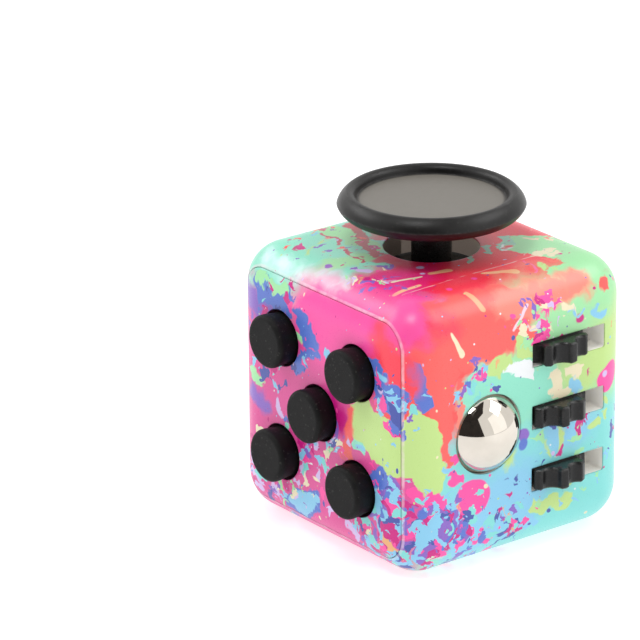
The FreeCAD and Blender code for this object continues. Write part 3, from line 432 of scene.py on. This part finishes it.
def stick_side_inks():
    """The strokes on the stick side, the widest first, with a painted highlight along its left edge."""
    return [
        daub("#f21e5e", top(-5, 3), top(-3, -7), 4.4, soft=2.5),
        daub("#f43a50", top(9, -2), top(12, 10), 6, soft=2.5),
        daub("#fa2a42", top(-1, -9), top(8, -8), 3.6, soft=1.8),
        daub("#fc3c56", top(-5, -14.5), top(7, -15), 2.6, soft=1.6),
        daub("#ee3e90", top(-14.5, -8), top(-13, -13), 3.0, soft=2.0),
        daub("#ee2c84", top(-9.5, -4.6), top(-8, -6.4), 2.0, soft=2),
        daub(MINT, top(-12, 12), top(-6, 12), 5.4),
        daub(MINT, top(-13, 6), top(-8, 5), 4.4),
        daub(GREEN, top(-13, 2.4), top(-8.6, 1.8), 1.6, soft=0.6),
        # Painted highlight: a pale band along the top's left edge, the mint print there lightened where the
        # rounded edge catches the light.
        daub("#d2f6f4", top(-15.9, 12), top(-15.6, -1), 2.0, soft=1.0),
        daub(GREEN, top(-5.6, 13), top(-5.4, 4), 1.8, taper=0.3),
        daub("#c8566a", top(-6.6, 13.4), top(-8.2, 5), 0.34, soft=0.08),
        daub("#c8405c", top(-8.2, 5), top(-9.8, -0.4), 0.4, soft=0.08),
        daub("#c85a60", top(-1.6, 12.6), top(-6.2, 4.6), 1.0, taper=0.2),
        daub("#c8485a", top(-5.6, 5.4), top(-7.0, 1.4), 0.8),
        daub(MINT, top(-9.6, 0.2), top(-8.0, -1.6), 0.9, taper=0.4),
        daub(PURPLE, top(-8.9, -1.9), top(-7.8, -2.2), 0.3),
        daub(LILAC, top(-11.6, -0.6), top(-10.8, -1.8), 0.45),
        daub(PURPLE, top(-13.2, 2.8), top(-12.8, 2.4), 0.45),
        daub(BLUE, top(-14.2, 6.9), width=0.42),
        daub(ROSE, top(-14.0, 10.6), top(-13.8, 9.0), 0.24),
        daub(ROSE, top(-12.4, 8.8), top(-11.8, 9.8), 0.28),
        daub(ROSE, top(-11.8, 11.6), width=0.3),
        daub(LIME, top(-13.4, 7.2), top(-8.8, 9.2), 0.34, soft=0.25),
        daub(SKY, top(-7.8, 11.2), width=0.5),
        daub(CREAM, top(-10.8, -6.6), top(-7.2, -7.2), 0.26, taper=0.4, soft=0.06, ragged=False),
        daub(PEACH, top(-5.8, -7.1), top(-3.6, -7.6), 0.34, taper=-0.4, soft=0.06, ragged=False),
        daub("#f6c6c2", top(-12.6, -10.3), top(9.3, -9.9), 0.07, soft=0.05, ragged=False),
        daub("#ffc39a", top(-13.0, -9.5), top(-9.2, -9.3), 0.28, soft=0.06, ragged=False),
        daub(PEACH, top(-1.0, -10.8), top(2.2, -12.3), 0.3, taper=-0.8, soft=0.06, ragged=False),
        daub(LILAC, top(-5.5, -4.8), width=0.46, ragged=False),
        daub(LILAC, top(-6.5, -6.5), width=0.3, ragged=False),
        daub(PURPLE, top(-10.8, -7.6), top(-11.2, -8.6), 0.34),
        daub(LILAC, top(-11.4, -5.4), top(-10.8, -6.0), 0.3),
        daub(LILAC, top(-14.0, -4.2), width=0.3, ragged=False),
        daub(LILAC, top(-13.6, -5.8), width=0.26, ragged=False),
        daub(ORANGE, top(-12.4, -3.4), top(-12.8, -4.6), 0.26),
        daub(HOT_PINK, top(-7.2, -12.2), width=0.34, ragged=False),
        daub(HOT_PINK, top(-3.0, -11.4), width=0.34, ragged=False),
        daub(HOT_PINK, top(-0.7, -13.4), width=0.3, ragged=False),
        daub(GREEN, top(9.5, -7.0), top(13.0, -13.0), 3.2),
        daub(GREEN, top(7.4, -14.6), top(12, -15.6), 1.8),
        daub("#9cc4ae", top(1.2, -5.2), top(0.2, -7.2), 0.7, taper=0.3),
        daub("#96ccb4", top(4.6, -4.2), top(3.0, -6.4), 0.7, taper=0.5),
        daub("#9cd6be", top(8.6, -3.6), top(5.8, -6.2), 0.8, taper=0.4),
        daub(WHITE, top(6.6, -5.8), top(6.0, -6.4), 0.3),
        daub(CREAM, top(7.0, -9.6), top(9.8, -9.2), 0.6),
        daub(CREAM, top(9.2, -10.6), width=0.8),
        daub(CREAM, top(10.6, -5.6), top(12.0, -6.6), 0.5),
        daub(MAGENTA, top(9.4, -11.4), width=0.34),
        daub(CORAL, top(12.0, -6.2), width=0.45),
        daub(LIME, top(6.0, -12.8), top(7.4, -13.6), 0.6),
        daub(HOT_PINK, top(5.2, -10.8), top(4.4, -13.0), 0.22, soft=0.1),
        daub(CORAL, top(8.6, -12.4), top(6.4, -10.2), 0.5, taper=0.4),
        daub(CORAL, top(12, -15.6), width=0.5),
    ]


def all_over_splatter(nodes, ragged):
    """The random splatter under everything, which is all that shows on the sides the strokes leave free."""
    blots = nodes.cells(ragged, 0.16)
    colour = nodes.swatches(
        nodes.add("ShaderNodeSeparateColor", {"Color": blots.outputs["Color"]}).outputs[0],
        [PINK, TEAL, CORAL, GREEN, HOT_PINK, SKY, RED, MINT],
    )
    patches = nodes.cells(ragged, 0.34)
    parts = nodes.add("ShaderNodeSeparateColor", {"Color": patches.outputs["Color"]}).outputs
    inks = nodes.swatches(parts[1], [BLUE, LIME, LILAC, MAGENTA, MINT, PURPLE, CREAM, SKY])
    size = nodes.math("MULTIPLY", parts[0], 0.5)
    depth = nodes.math("SUBTRACT", size, patches.outputs["Distance"])
    return nodes.mix(nodes.ramp(depth, -0.03, 0.03), colour, inks)


def mottled(nodes, under, place, middle, reach, scale, share, inks):
    """Dense small blots of many inks round one spot, thinning out towards its edge."""
    away = nodes.vector("DISTANCE", place, middle)
    near = nodes.ramp(away, reach * 1.15, reach * 0.4, 0.0, share)
    blots = nodes.cells(place, scale)
    parts = nodes.add("ShaderNodeSeparateColor", {"Color": blots.outputs["Color"]}).outputs
    chosen = nodes.math("LESS_THAN", parts[0], near)
    return nodes.mix(chosen, under, nodes.swatches(parts[1], inks))


def speckles(nodes, under, place, scale, stretch, inks, share):
    """Small drops of ink, drawn out along one direction, in a share of the cells."""
    turned = nodes.add(
        "ShaderNodeMapping", {"Vector": place, "Rotation": (0.5, 0.7, 0.4), "Scale": stretch}
    ).outputs[0]
    drops = nodes.cells(turned, scale)
    parts = nodes.add("ShaderNodeSeparateColor", {"Color": drops.outputs["Color"]}).outputs
    chosen = nodes.math("LESS_THAN", parts[0], share)
    size = nodes.math("MULTIPLY_ADD", parts[1], 0.2, 0.05)
    depth = nodes.math("SUBTRACT", size, drops.outputs["Distance"])
    cover = nodes.math("MULTIPLY", nodes.ramp(depth, -0.03, 0.03), chosen)
    return nodes.mix(cover, under, nodes.swatches(parts[2], inks))


def shaken(nodes, place, scale, amount):
    """The place moved about by noise."""
    shake = nodes.noise(place, scale, detail=1.0).outputs["Color"]
    centred = nodes.vector("SUBTRACT", shake, (0.5, 0.5, 0.5))
    return nodes.vector("ADD", place, nodes.scaled(centred, amount))


def shell_depth(nodes, place):
    """How deep a point lies under the rounded cube's outer surface, in millimetres."""
    centred = nodes.vector("SUBTRACT", place, (0, 0, MIDDLE))
    beyond = nodes.vector("SUBTRACT", nodes.vector("ABSOLUTE", centred), (HALF - EDGE_ROUND,) * 3)
    outside = nodes.vector("MAXIMUM", beyond, (0, 0, 0))
    return nodes.math("SUBTRACT", EDGE_ROUND, nodes.vector("LENGTH", outside))


def seam_highlight_share(nodes, place):
    """How much a point belongs to the painted highlight band just outside the cover's seam."""
    centred = nodes.vector("ABSOLUTE", nodes.vector("SUBTRACT", place, (0, 0, MIDDLE)))
    flat = nodes.vector("MULTIPLY", centred, (0, 1, 1))
    corner = nodes.vector("SUBTRACT", flat, (0, COVER_HALF - COVER_CORNER, COVER_HALF - COVER_CORNER))
    beyond = nodes.vector("LENGTH", nodes.vector("MAXIMUM", corner, (0, 0, 0)))
    outside = nodes.math("SUBTRACT", beyond, COVER_CORNER)
    band = nodes.math("ABSOLUTE", nodes.math("SUBTRACT", outside, SEAM_BAND))
    cover = nodes.ramp(band, SEAM_BAND, SEAM_BAND * 0.4)
    side = nodes.add("ShaderNodeSeparateXYZ", {"Vector": place}).outputs[0]
    return nodes.math("MULTIPLY", cover, nodes.math("LESS_THAN", side, COVER_HALF - HALF - EDGE_ROUND * 2))


def dense_spots():
    """Where the print breaks into dense small blots: middle, reach, scale, share and inks."""
    deep = [BLUE, MAGENTA, SKY, PURPLE, SKY, NAVY, TEAL, HOT_PINK]
    light = [LILAC, MAGENTA, GREEN, PURPLE, CREAM, HOT_PINK]
    return [
        (left(-12, 6), 7.5, 0.95, 0.7, deep),
        (right(-11, 4), 7.0, 0.95, 0.75, deep),
        (right(-2, 3), 5.0, 0.9, 0.45, deep),
        (left(8, 24), 7.0, 0.8, 0.4, deep),
        (left(9, 6), 7.0, 0.8, 0.4, light + deep),
        (left(0, 11), 7.0, 0.9, 0.35, light + deep),
        (left(-13, 21), 4.5, 0.9, 0.4, deep),
        (right(-7, 22), 4.0, 1.0, 0.4, deep),
        (top(-8, 8), 9.0, 1.1, 0.09, [MAGENTA, CORAL, PURPLE, LILAC]),
        (top(-11, -4), 5.0, 1.2, 0.14, light),
        (right(3, 28), 5.0, 1.0, 0.3, light),
        (right(8, 12), 8.0, 0.9, 0.14, [LIME, MAGENTA, NAVY, SKY, GREEN]),
    ]


def laid_daub(nodes, group, stroke, place, under):
    """The colours with one daub laid over them."""
    values = {
        "Place": place, "Start": stroke.start, "End": stroke.end,
        "Width": stroke.width, "Taper": stroke.taper, "Soft": stroke.soft,
        "Ink": linear(stroke.ink), "Under": under,
    }
    return nodes.add("ShaderNodeGroup", values, node_tree=group).outputs["Colour"]


def splatter_print(nodes, place):
    """The whole print: splatter, the strokes in their order, dense blots, then small drops."""
    ragged = shaken(nodes, shaken(nodes, place, 0.42, 3.2), 1.5, 1.0)
    calm = shaken(nodes, place, 0.5, 0.5)
    colour = all_over_splatter(nodes, ragged)
    group = daub_group()
    for stroke in ground_inks() + stick_side_inks() + gear_side_inks() + button_side_inks():
        colour = laid_daub(nodes, group, stroke, ragged if stroke.ragged else calm, colour)
    tangled = shaken(nodes, ragged, 1.7, 0.7)
    for middle, reach, scale, share, inks in dense_spots():
        colour = mottled(nodes, colour, tangled, middle, reach, scale, share, inks)
    large_drops = [MAGENTA, NAVY, LILAC, CREAM, HOT_PINK]
    small_drops = [WHITE, PURPLE, MAGENTA, SKY, LIME]
    colour = speckles(nodes, colour, calm, 0.75, (1.0, 2.2, 1.0), large_drops, 0.16)
    return speckles(nodes, colour, calm, 1.5, (1.0, 1.6, 1.0), small_drops, 0.1)


def plastic_with_hole_shade(nodes, place, cloud, across):
    """The white plastic under the print, with painted shade: darker in the stick's hole and a dark pink in
    the button holes.
    """
    plastic = nodes.mix(cloud, linear("#f0ede5"), linear("#fbf9f4"))
    from_axis = nodes.vector("LENGTH", nodes.vector("MULTIPLY", place, (1, 1, 0)))
    # Painted shade: the plastic inside the stick's hole is darkened.
    stick_hole_shade = nodes.ramp(from_axis, STICK_HOLE + 0.5, STICK_HOLE + 0.2)
    plastic = nodes.mix(stick_hole_shade, plastic, linear("#bcaca0"))
    # Painted shade: the plastic inside the button holes is darkened to a dusky pink.
    button_hole_shade = nodes.ramp(across, 1 - COVER_HALF, -COVER_HALF)
    return nodes.mix(button_hole_shade, plastic, linear("#86506c"))


def printed_shell():
    """White plastic with the glossy splatter print on its outer surface, a painted highlight beside the
    cover's seam, painted shade in the holes and a painted glow in the gears' slots.
    """
    material, nodes, shader = new_material("printed_shell")
    place = place_in_mm(nodes)
    colour = splatter_print(nodes, place)
    bare = nodes.ramp(shell_depth(nodes, place), 0.12, 0.2)
    cloud = nodes.noise(place, 0.8, detail=3).outputs["Fac"]
    # Painted highlight: a pale band beside the cover's seam, standing in for the light its rounded edge
    # catches.
    edge_wear_and_seam_highlight = nodes.math("MULTIPLY", seam_highlight_share(nodes, place), nodes.ramp(cloud, 0.3, 0.7, 0.1, 0.5))
    colour = nodes.mix(edge_wear_and_seam_highlight, colour, linear("#ffe4ee"))
    across = nodes.add("ShaderNodeSeparateXYZ", {"Vector": place}).outputs[0]
    plastic = plastic_with_hole_shade(nodes, place, cloud, across)
    nodes.feed(shader.inputs["Base Color"], nodes.mix(bare, colour, plastic))
    nodes.feed(shader.inputs["Emission Color"], plastic)
    # Painted light: the bare plastic beside the gears glows, so that the slots' walls look lit.
    beside_gears = nodes.math("GREATER_THAN", across, 0.0)
    painted_glow = nodes.math("MULTIPLY", nodes.math("MULTIPLY", bare, beside_gears), PAINTED_SLOT_GLOW)
    nodes.feed(shader.inputs["Emission Strength"], painted_glow)
    grain = nodes.noise(place, 9.0, detail=2).outputs["Fac"]
    nodes.feed(shader.inputs["Roughness"], nodes.ramp(grain, 0.2, 0.8, 0.26, 0.36))
    ripple = nodes.noise(place, 1.6, detail=2).outputs["Fac"]
    rounded = nodes.add("ShaderNodeBevel", {"Radius": SHELL_BEVEL * MM}, samples=4).outputs["Normal"]
    fine = nodes.bump(grain, 0.12, 0.02, rounded)
    nodes.feed(shader.inputs["Normal"], nodes.bump(ripple, 0.1, 0.05, fine))
    shader.inputs["IOR"].default_value = 1.5
    return material


# Rubber, plastic and metal

def worn_black(name, dark, light, roughness, grain_scale, grain_height, dust, shine):
    """Black rubber or plastic with a fine grain, uneven shade, a little lint and worn, lighter edges."""
    material, nodes, shader = new_material(name)
    place = place_in_mm(nodes)
    cloud = nodes.noise(place, 0.9, detail=4, roughness=0.6).outputs["Fac"]
    grain = nodes.noise(place, grain_scale, detail=3, roughness=0.6).outputs["Fac"]
    colour = nodes.mix(nodes.ramp(cloud, 0.3, 0.75), linear(dark), linear(light))
    specks = nodes.cells(place, 5.0)
    parts = nodes.add("ShaderNodeSeparateColor", {"Color": specks.outputs["Color"]}).outputs
    dots = nodes.ramp(nodes.math("MULTIPLY", specks.outputs["Distance"], 5.0), parts[1], 0.1)
    kept_dots = nodes.math("MULTIPLY", dots, nodes.math("GREATER_THAN", parts[0], 0.7))
    lint = nodes.math("MULTIPLY", kept_dots, dust)
    colour = nodes.mix(lint, colour, linear("#55534f"))
    bevel = nodes.add("ShaderNodeBevel", {"Radius": BLACK_BEVEL * MM}, samples=4)
    sharp = nodes.vector(
        "DISTANCE", bevel.outputs["Normal"], nodes.add("ShaderNodeNewGeometry").outputs["Normal"]
    )
    edge_wear_and_seam_highlight = nodes.math("MULTIPLY", nodes.ramp(sharp, 0.05, 0.5), nodes.ramp(cloud, 0.35, 0.7))
    colour = nodes.mix(nodes.math("MULTIPLY", edge_wear_and_seam_highlight, 0.35), colour, linear("#6e6c69"))
    nodes.feed(shader.inputs["Base Color"], colour)
    uneven = nodes.ramp(grain, 0.25, 0.75, roughness - 0.06, roughness + 0.08)
    nodes.feed(shader.inputs["Roughness"], uneven)
    nodes.feed(shader.inputs["Normal"], nodes.bump(grain, 0.5, grain_height, bevel.outputs["Normal"]))
    shader.inputs["Specular IOR Level"].default_value = shine
    return material


def button_rubber():
    """The buttons' matt black rubber."""
    return worn_black(
        "button_rubber", "#050506", "#0d0d0d", roughness=0.6, grain_scale=9.0, grain_height=0.05,
        dust=0.2, shine=0.2,
    )


def black_plastic():
    """The glossy black plastic of the gears, the rocker, the dial and the stick's stem."""
    return worn_black(
        "black_plastic", "#0c0c0d", "#151516", roughness=0.28, grain_scale=10.0, grain_height=0.015,
        dust=0.1, shine=0.35,
    )


def disc_rubber():
    """The disc's rubber: satin black, with a painted sheen of streaked warm grey in the hollow on top."""
    material = worn_black(
        "disc_rubber", "#100f0f", "#171615", roughness=0.36, grain_scale=12.0, grain_height=0.015,
        dust=0.08, shine=0.3,
    )
    nodes = Nodes(material.node_tree)
    place = place_in_mm(nodes)
    # Painted reflection: the hollow's floor is lightened to a streaked warm grey, the way it looks when it
    # mirrors bright surroundings at a low angle.
    drawn_out = nodes.add("ShaderNodeMapping", {"Vector": place, "Scale": (0.4, 6, 1)}).outputs[0]
    scratches = nodes.noise(drawn_out, 1.6, detail=4).outputs["Fac"]
    painted_sheen = nodes.mix(scratches, linear("#68645d"), linear("#7a766f"))
    parts = nodes.add("ShaderNodeSeparateXYZ", {"Vector": place}).outputs
    from_axis = nodes.vector("LENGTH", nodes.vector("MULTIPLY", place, (1, 1, 0)))
    near_axis = nodes.ramp(from_axis, RECESS, RECESS - 0.5)
    on_top = nodes.math("GREATER_THAN", parts[2], SIDE + EDGE_ROUND)
    sheen_in_hollow = nodes.math("MULTIPLY", near_axis, on_top)
    base = material.node_tree.nodes["Principled BSDF"].inputs["Base Color"]
    nodes.feed(base, nodes.mix(sheen_in_hollow, base.links[0].from_socket, painted_sheen))
    return material


def polished_ball():
    """Mirror steel with faint scratches and smears."""
    material, nodes, shader = new_material("polished_ball")
    place = place_in_mm(nodes)
    smear = nodes.noise(place, 0.7, detail=3).outputs["Fac"]
    drawn_out = nodes.add("ShaderNodeMapping", {"Vector": place, "Scale": (1, 14, 1)}).outputs[0]
    scratch = nodes.noise(drawn_out, 3.0)
    nodes.feed(shader.inputs["Base Color"], nodes.mix(smear, linear("#cfc8bd"), linear("#dcd6cc")))
    rough = nodes.ramp(scratch.outputs["Fac"], 0.5, 0.8, 0.03, 0.09)
    nodes.feed(shader.inputs["Roughness"], rough)
    nodes.feed(shader.inputs["Normal"], nodes.bump(smear, 0.02, 0.02))
    shader.inputs["Metallic"].default_value = 1.0
    return material


def machined_steel(name, dark, light, roughness):
    """Steel with fine drawn lines."""
    material, nodes, shader = new_material(name)
    place = place_in_mm(nodes)
    lines = nodes.add("ShaderNodeMapping", {"Vector": place, "Scale": (8, 8, 1)}).outputs[0]
    drawn = nodes.noise(lines, 2.0, detail=3).outputs["Fac"]
    nodes.feed(shader.inputs["Base Color"], nodes.mix(drawn, linear(dark), linear(light)))
    nodes.feed(shader.inputs["Roughness"], nodes.ramp(drawn, 0.3, 0.7, roughness, roughness + 0.15))
    nodes.feed(shader.inputs["Normal"], nodes.bump(drawn, 0.1, 0.01))
    shader.inputs["Metallic"].default_value = 1.0
    return material


def inner_plastic():
    """Plain moulded white plastic."""
    material, nodes, shader = new_material("inner_plastic")
    place = place_in_mm(nodes)
    cloud = nodes.noise(place, 0.6, detail=4).outputs["Fac"]
    grain = nodes.noise(place, 12.0, detail=2).outputs["Fac"]
    nodes.feed(shader.inputs["Base Color"], nodes.mix(cloud, linear("#d5cfc2"), linear("#e6e2d6")))
    nodes.feed(shader.inputs["Roughness"], nodes.ramp(grain, 0.3, 0.7, 0.42, 0.55))
    nodes.feed(shader.inputs["Normal"], nodes.bump(grain, 0.2, 0.015))
    return material


def material_slots():
    """The name of each node's material slot in the record."""
    return {part["node"]: part["material_slot"] for part in frame["record"]["subparts"]}


def dress_nodes():
    """Gives every CAD node its material, by its slot in the record."""
    makers = {
        "printed_shell": printed_shell,
        "inner_plastic": inner_plastic,
        "button_rubber": button_rubber,
        "disc_rubber": disc_rubber,
        "black_plastic": black_plastic,
        "polished_ball": polished_ball,
        "pin_steel": lambda: machined_steel("pin_steel", "#8f8f92", "#b9b9bb", 0.25),
        "spring_steel": lambda: machined_steel("spring_steel", "#7d7d80", "#a3a3a5", 0.3),
        "screw_steel": lambda: machined_steel("screw_steel", "#8c8b88", "#aeadaa", 0.35),
    }
    made = {slot: make() for slot, make in makers.items()}
    slots = material_slots()
    for name, node in frame["nodes"].items():
        node.data.materials.clear()
        node.data.materials.append(made[slots[name]])
        smooth_by_angle(node)


def smooth_by_angle(node):
    """Smooth shading, with a modifier that keeps edges sharp and leaves the CAD mesh as it is."""
    for face in node.data.polygons:
        face.use_smooth = True
    split = node.modifiers.new("sharp_edges", "EDGE_SPLIT")
    split.split_angle = math.radians(SHARP_ANGLE)


def springs_that_give():
    """Copies of the springs and domes behind the buttons and the ball, fixed to the housing in place of the
    CAD nodes, which are hidden.
    """
    slots = material_slots()
    soft = {"ball_spring": ("press_ball", Vector((0, 1, 0)), BALL_TRAVEL)}
    for name in slots:
        for start in ("silent_spring_", "snap_dome_"):
            if name.startswith(start):
                soft[name] = ("press_" + name[len(start):], Vector((1, 0, 0)), BUTTON_TRAVEL)
    for name, (joint, axis, travel) in soft.items():
        piece = bpy.data.objects.new(name + "_soft", frame["nodes"][name].data.copy())
        bpy.context.collection.objects.link(piece)
        smooth_by_angle(piece)
        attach(piece, "housing")
        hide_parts(name)
        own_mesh(piece)


# Studio

def white_table():
    """The plain pale floor."""
    mesh = bpy.data.meshes.new("table")
    reach = TABLE_REACH
    corners = [(-reach, -reach, 0), (reach, -reach, 0), (reach, reach, 0), (-reach, reach, 0)]
    mesh.from_pydata(corners, [], [(0, 1, 2, 3)])
    table = bpy.data.objects.new("table", mesh)
    bpy.context.collection.objects.link(table)
    material, nodes, shader = new_material("table_white")
    place = nodes.add("ShaderNodeTexCoord").outputs["Object"]
    tone = nodes.noise(place, 3.0, detail=2).outputs["Fac"]
    nodes.feed(shader.inputs["Base Color"], nodes.mix(tone, linear("#b6b6b7"), linear("#bbbabb")))
    shader.inputs["Roughness"].default_value = 0.5
    shader.inputs["Emission Color"].default_value = (1, 1, 1, 1)
    shader.inputs["Emission Strength"].default_value = TABLE_GLOW
    mesh.materials.append(material)


def direction(azimuth, rise):
    """A unit vector from an azimuth and a rise in degrees."""
    turn, lift = math.radians(azimuth), math.radians(rise)
    return Vector((math.cos(turn) * math.cos(lift), math.sin(turn) * math.cos(lift), math.sin(lift)))


def dark_card():
    """A dark card behind the camera and to its left, that only mirrors see: the ball shows it."""
    places = [direction(azimuth, rise) * CARD_DISTANCE for azimuth, rise in [CARD_MIDDLE] + CARD_RIM]
    count = len(CARD_RIM)
    mesh = bpy.data.meshes.new("dark_card")
    mesh.from_pydata(places, [], [(0, 1 + k, 1 + (k + 1) % count) for k in range(count)])
    card = bpy.data.objects.new("dark_card", mesh)
    bpy.context.collection.objects.link(card)
    material, nodes, shader = new_material("card_black")
    place = nodes.add("ShaderNodeTexCoord").outputs["Object"]
    tone = nodes.noise(place, 6.0, detail=5).outputs["Fac"]
    nodes.feed(shader.inputs["Base Color"], nodes.mix(tone, linear("#050404"), linear("#2c2421")))
    shader.inputs["Roughness"].default_value = 0.9
    mesh.materials.append(material)
    card.visible_camera = False
    card.visible_diffuse = False
    card.visible_shadow = False


def softbox(name, place, size, power):
    """A rectangular soft light that looks at the cube."""
    light = bpy.data.lights.new(name, "AREA")
    light.shape = "RECTANGLE"
    light.size, light.size_y = size
    light.energy = power
    holder = bpy.data.objects.new(name, light)
    holder.location = place
    aim = Vector((0, 0, MIDDLE * MM)) - Vector(place)
    holder.rotation_euler = aim.to_track_quat("-Z", "Y").to_euler()
    bpy.context.collection.objects.link(holder)


def studio_light():
    """Soft white light from all round, with softboxes overhead, behind, in front and at the right."""
    world = bpy.data.worlds.new("studio")
    bpy.context.scene.world = world
    world.use_nodes = True
    nodes = Nodes(world.node_tree)
    background = world.node_tree.nodes["Background"]
    background.inputs["Color"].default_value = (1, 0.99, 0.98, 1)
    mirrored = nodes.add("ShaderNodeLightPath").outputs["Is Glossy Ray"]
    strength = nodes.math("MULTIPLY_ADD", mirrored, MIRRORED_LIGHT, WORLD_LIGHT)
    nodes.feed(background.inputs["Strength"], strength)
    softbox("overhead", (-0.3, -0.14, 0.78), (0.24, 0.24), 2.0)
    softbox("behind", (-0.3, 0.55, 0.5), (0.5, 0.25), 1.6)
    softbox("front_high", (0.57, -0.36, 0.74), (0.6, 0.4), 2.8)
    softbox("right_side", (0.5, -0.9, 0.45), (0.9, 0.9), 1.2)


def camera():
    """The camera, a long lens from the front left, a little above."""
    turn, rise = math.radians(VIEW_TURN), math.radians(VIEW_RISE)
    back = Vector((math.sin(turn) * math.cos(rise), -math.cos(turn) * math.cos(rise), math.sin(rise)))
    side = Vector((math.cos(turn), math.sin(turn), 0))
    up = back.cross(side)
    roll = math.radians(VIEW_ROLL)
    rolled_side = side * math.cos(roll) + up * math.sin(roll)
    rolled_up = up * math.cos(roll) - side * math.sin(roll)
    aim = Vector((0, 0, MIDDLE)) - rolled_side * VIEW_LEFT + rolled_up * VIEW_ABOVE
    data = bpy.data.cameras.new("camera")
    data.lens = VIEW_LENS
    data.sensor_width = SENSOR_WIDTH
    data.clip_start = 0.05
    holder = bpy.data.objects.new("camera", data)
    holder.matrix_world = Matrix((
        (rolled_side.x, rolled_up.x, back.x, 0),
        (rolled_side.y, rolled_up.y, back.y, 0),
        (rolled_side.z, rolled_up.z, back.z, 0),
        (0, 0, 0, 1),
    ))
    holder.location = (aim + back * VIEW_DISTANCE) * MM
    bpy.context.collection.objects.link(holder)
    bpy.context.scene.camera = holder


dress_nodes()
springs_that_give()
white_table()
dark_card()
studio_light()
camera()
bpy.context.scene.view_settings.view_transform = "Standard"
